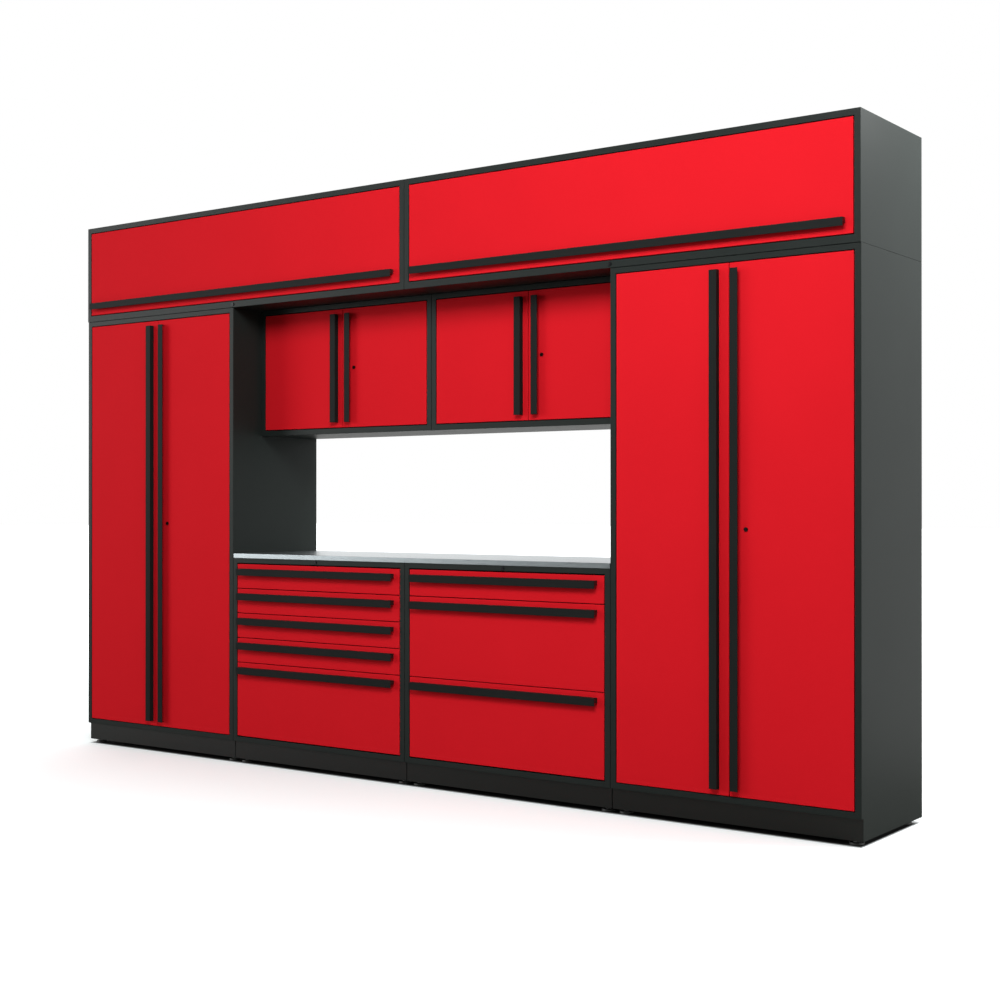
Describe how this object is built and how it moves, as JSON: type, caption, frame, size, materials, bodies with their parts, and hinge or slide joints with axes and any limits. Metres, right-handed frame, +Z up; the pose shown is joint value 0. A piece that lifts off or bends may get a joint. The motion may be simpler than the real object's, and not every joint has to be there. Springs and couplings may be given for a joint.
{
  "type": "modular garage cabinet wall",
  "caption": "Modular steel garage storage wall: tall lockers, drawer units under a steel worktop, wall cabinets over an open niche and long flip-up overhead cabinets.",
  "frame": {"origin": "on the floor under the centre of the bounding box, bar handles included", "axes": "+Z up, the fronts face -Y, +X runs along the width, to the right seen from the front"},
  "size_m": [3.656, 0.5264, 2.2892],
  "materials": {
    "frame": "charcoal fine-texture powder coat",
    "door": "red fine-texture powder coat",
    "handle": "black satin powder coat",
    "worktop": "brushed stainless steel",
    "lock": "dark nickel",
    "strut": "black gloss paint",
    "rod": "bright chrome",
    "shelf": "charcoal fine-texture powder coat"
  },
  "bodies": {
    "cabinet": {"locker_left_body": "frame", "locker_right_body": "frame", "base_left_body": "frame", "base_right_body": "frame", "worktop": "worktop", "wall_left_body": "frame", "wall_left_shelf": "shelf", "wall_right_body": "frame", "wall_right_shelf": "shelf", "overhead_left_body": "frame", "overhead_right_body": "frame"},
    "locker_left_door_left": {"locker_left_door_left": "door", "locker_left_door_left_handle": "handle"},
    "locker_left_door_right": {"locker_left_door_right": "door", "locker_left_door_right_handle": "handle"},
    "locker_left_lock": {"locker_left_lock": "lock"},
    "locker_right_door_left": {"locker_right_door_left": "door", "locker_right_door_left_handle": "handle"},
    "locker_right_door_right": {"locker_right_door_right": "door", "locker_right_door_right_handle": "handle"},
    "locker_right_lock": {"locker_right_lock": "lock"},
    "base_left_drawer_1": {"base_left_drawer_1": "door", "base_left_drawer_1_handle": "handle"},
    "base_left_drawer_2": {"base_left_drawer_2": "door", "base_left_drawer_2_handle": "handle"},
    "base_left_drawer_3": {"base_left_drawer_3": "door", "base_left_drawer_3_handle": "handle"},
    "base_left_drawer_4": {"base_left_drawer_4": "door", "base_left_drawer_4_handle": "handle"},
    "base_left_drawer_5": {"base_left_drawer_5": "door", "base_left_drawer_5_handle": "handle"},
    "base_left_lock": {"base_left_lock": "lock"},
    "base_right_drawer_1": {"base_right_drawer_1": "door", "base_right_drawer_1_handle": "handle"},
    "base_right_drawer_2": {"base_right_drawer_2": "door", "base_right_drawer_2_handle": "handle"},
    "base_right_drawer_3": {"base_right_drawer_3": "door", "base_right_drawer_3_handle": "handle"},
    "base_right_lock": {"base_right_lock": "lock"},
    "wall_left_door_left": {"wall_left_door_left": "door", "wall_left_door_left_handle": "handle"},
    "wall_left_door_right": {"wall_left_door_right": "door", "wall_left_door_right_handle": "handle"},
    "wall_left_lock": {"wall_left_lock": "lock"},
    "wall_right_door_left": {"wall_right_door_left": "door", "wall_right_door_left_handle": "handle"},
    "wall_right_door_right": {"wall_right_door_right": "door", "wall_right_door_right_handle": "handle"},
    "wall_right_lock": {"wall_right_lock": "lock"},
    "overhead_left_door": {"overhead_left_door": "door", "overhead_left_door_handle": "handle"},
    "overhead_left_strut_cylinder": {"overhead_left_strut_cylinder": "strut"},
    "overhead_left_strut_rod": {"overhead_left_strut_rod": "rod"},
    "overhead_left_lock": {"overhead_left_lock": "lock"},
    "overhead_right_door": {"overhead_right_door": "door", "overhead_right_door_handle": "handle"},
    "overhead_right_strut_cylinder": {"overhead_right_strut_cylinder": "strut"},
    "overhead_right_strut_rod": {"overhead_right_strut_rod": "rod"},
    "overhead_right_lock": {"overhead_right_lock": "lock"}
  },
  "joints": [
    {"name": "locker_left_door_left_hinge", "type": "hinge", "parent": "cabinet", "child": "locker_left_door_left", "pos_m": [-1.8035, -0.23875, 0.98025], "axis": [0, 0, -1], "range_deg": [0, 90]},
    {"name": "locker_left_door_right_hinge", "type": "hinge", "parent": "cabinet", "child": "locker_left_door_right", "pos_m": [-0.9397, -0.23875, 0.98025], "axis": [0, 0, 1], "range_deg": [0, 90]},
    {"name": "locker_left_lock_turn", "type": "hinge", "parent": "locker_left_door_right", "child": "locker_left_lock", "pos_m": [-1.3116, -0.23875, 0.98025], "axis": [0, 1, 0], "range_deg": [0, 90]},
    {"name": "locker_right_door_left_hinge", "type": "hinge", "parent": "cabinet", "child": "locker_right_door_left", "pos_m": [0.9397, -0.23875, 0.98025], "axis": [0, 0, -1], "range_deg": [0, 90]},
    {"name": "locker_right_door_right_hinge", "type": "hinge", "parent": "cabinet", "child": "locker_right_door_right", "pos_m": [1.8035, -0.23875, 0.98025], "axis": [0, 0, 1], "range_deg": [0, 90]},
    {"name": "locker_right_lock_turn", "type": "hinge", "parent": "locker_right_door_right", "child": "locker_right_lock", "pos_m": [1.4316, -0.23875, 0.98025], "axis": [0, 1, 0], "range_deg": [0, 90]},
    {"name": "base_left_drawer_1_slide", "type": "slide", "parent": "cabinet", "child": "base_left_drawer_1", "axis": [0, -1, 0], "range_m": [0, 0.4]},
    {"name": "base_left_drawer_2_slide", "type": "slide", "parent": "cabinet", "child": "base_left_drawer_2", "axis": [0, -1, 0], "range_m": [0, 0.4]},
    {"name": "base_left_drawer_3_slide", "type": "slide", "parent": "cabinet", "child": "base_left_drawer_3", "axis": [0, -1, 0], "range_m": [0, 0.4]},
    {"name": "base_left_drawer_4_slide", "type": "slide", "parent": "cabinet", "child": "base_left_drawer_4", "axis": [0, -1, 0], "range_m": [0, 0.4]},
    {"name": "base_left_drawer_5_slide", "type": "slide", "parent": "cabinet", "child": "base_left_drawer_5", "axis": [0, -1, 0], "range_m": [0, 0.4]},
    {"name": "base_left_lock_turn", "type": "hinge", "parent": "cabinet", "child": "base_left_lock", "pos_m": [-0.4572, -0.23875, 0.831], "axis": [0, 1, 0], "range_deg": [0, 90]},
    {"name": "base_right_drawer_1_slide", "type": "slide", "parent": "cabinet", "child": "base_right_drawer_1", "axis": [0, -1, 0], "range_m": [0, 0.4]},
    {"name": "base_right_drawer_2_slide", "type": "slide", "parent": "cabinet", "child": "base_right_drawer_2", "axis": [0, -1, 0], "range_m": [0, 0.4]},
    {"name": "base_right_drawer_3_slide", "type": "slide", "parent": "cabinet", "child": "base_right_drawer_3", "axis": [0, -1, 0], "range_m": [0, 0.4]},
    {"name": "base_right_lock_turn", "type": "hinge", "parent": "cabinet", "child": "base_right_lock", "pos_m": [0.4572, -0.23875, 0.831], "axis": [0, 1, 0], "range_deg": [0, 90]},
    {"name": "wall_left_door_left_hinge", "type": "hinge", "parent": "cabinet", "child": "wall_left_door_left", "pos_m": [-0.8891, -0.07675, 1.6106], "axis": [0, 0, -1], "range_deg": [0, 86]},
    {"name": "wall_left_door_right_hinge", "type": "hinge", "parent": "cabinet", "child": "wall_left_door_right", "pos_m": [-0.0253, -0.07675, 1.6106], "axis": [0, 0, 1], "range_deg": [0, 86]},
    {"name": "wall_left_lock_turn", "type": "hinge", "parent": "wall_left_door_right", "child": "wall_left_lock", "pos_m": [-0.3972, -0.07675, 1.6106], "axis": [0, 1, 0], "range_deg": [0, 90]},
    {"name": "wall_right_door_left_hinge", "type": "hinge", "parent": "cabinet", "child": "wall_right_door_left", "pos_m": [0.0253, -0.07675, 1.6106], "axis": [0, 0, -1], "range_deg": [0, 86]},
    {"name": "wall_right_door_right_hinge", "type": "hinge", "parent": "cabinet", "child": "wall_right_door_right", "pos_m": [0.8891, -0.07675, 1.6106], "axis": [0, 0, 1], "range_deg": [0, 86]},
    {"name": "wall_right_lock_turn", "type": "hinge", "parent": "wall_right_door_right", "child": "wall_right_lock", "pos_m": [0.5172, -0.07675, 1.6106], "axis": [0, 1, 0], "range_deg": [0, 90]},
    {"name": "overhead_left_door_hinge", "type": "hinge", "parent": "cabinet", "child": "overhead_left_door", "pos_m": [-0.9144, -0.24225, 2.2642], "axis": [-1, 0, 0], "range_deg": [0, 85]},
    {"name": "overhead_left_strut_swing", "type": "hinge", "parent": "cabinet", "child": "overhead_left_strut_cylinder", "pos_m": [-1.792, 0.05775, 2.2042], "axis": [-1, 0, 0], "range_deg": [0, 27.25]},
    {"name": "overhead_left_strut_extend", "type": "slide", "parent": "overhead_left_strut_cylinder", "child": "overhead_left_strut_rod", "axis": [0, -0.8997, -0.4364], "range_m": [0, 0.18886]},
    {"name": "overhead_left_lock_turn", "type": "hinge", "parent": "cabinet", "child": "overhead_left_lock", "pos_m": [-0.9144, -0.24225, 1.8858], "axis": [0, 1, 0], "range_deg": [0, 90]},
    {"name": "overhead_right_door_hinge", "type": "hinge", "parent": "cabinet", "child": "overhead_right_door", "pos_m": [0.9144, -0.24225, 2.2642], "axis": [-1, 0, 0], "range_deg": [0, 85]},
    {"name": "overhead_right_strut_swing", "type": "hinge", "parent": "cabinet", "child": "overhead_right_strut_cylinder", "pos_m": [0.0368, 0.05775, 2.2042], "axis": [-1, 0, 0], "range_deg": [0, 27.25]},
    {"name": "overhead_right_strut_extend", "type": "slide", "parent": "overhead_right_strut_cylinder", "child": "overhead_right_strut_rod", "axis": [0, -0.8997, -0.4364], "range_m": [0, 0.18886]},
    {"name": "overhead_right_lock_turn", "type": "hinge", "parent": "cabinet", "child": "overhead_right_lock", "pos_m": [0.9144, -0.24225, 1.8858], "axis": [0, 1, 0], "range_deg": [0, 90]}
  ],
  "couplings": [
    {"joint": "overhead_left_strut_swing", "follows": "overhead_left_door_hinge", "ratio": 0.32045},
    {"joint": "overhead_left_strut_extend", "follows": "overhead_left_door_hinge", "m_per_rad": 0.12724},
    {"joint": "overhead_right_strut_swing", "follows": "overhead_right_door_hinge", "ratio": 0.32045},
    {"joint": "overhead_right_strut_extend", "follows": "overhead_right_door_hinge", "m_per_rad": 0.12724}
  ]
}
